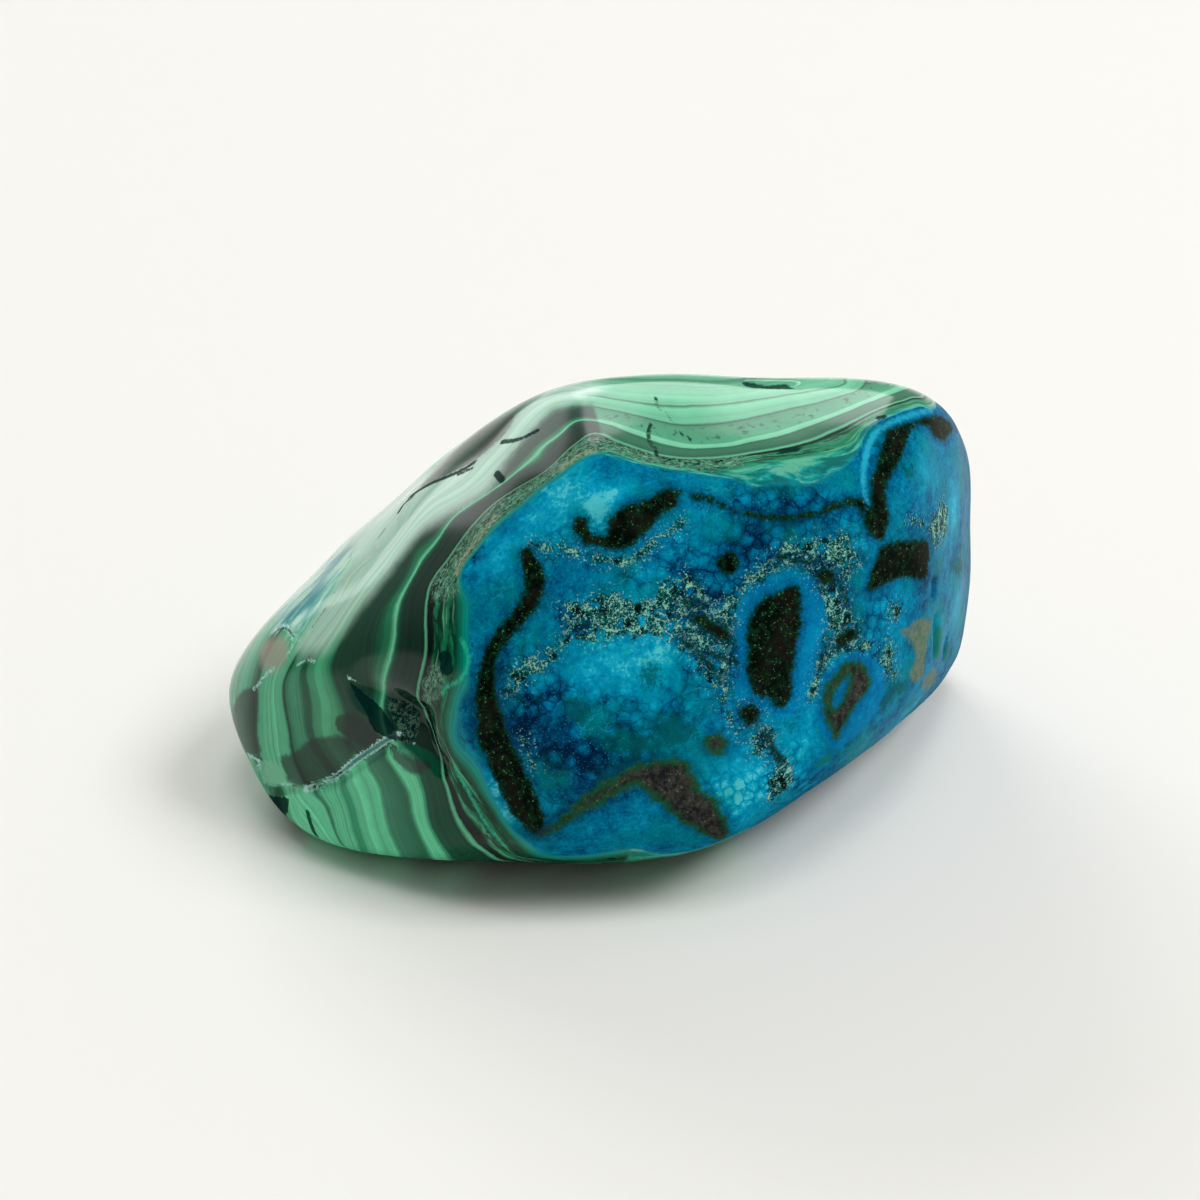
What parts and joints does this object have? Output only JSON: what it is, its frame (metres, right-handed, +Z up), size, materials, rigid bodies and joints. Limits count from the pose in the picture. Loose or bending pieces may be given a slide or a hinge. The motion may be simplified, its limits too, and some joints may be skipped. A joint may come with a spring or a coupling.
{
  "type": "chrysocolla specimen",
  "caption": "Polished freeform of blue chrysocolla and banded green malachite, ground flat underneath so that it rests with its broad blue face forward.",
  "frame": {"origin": "middle of the bounding box at the resting flat", "axes": "+X along the stone to its upright right-hand end, -Y the side of the broad blue face, +Z up"},
  "size_m": [0.1036, 0.0654, 0.0586],
  "materials": {
    "polished_chrysocolla": "polished to a gloss, blue and green with dark inclusions"
  },
  "bodies": {
    "root": {"chrysocolla_stone": "polished_chrysocolla"}
  },
  "joints": []
}
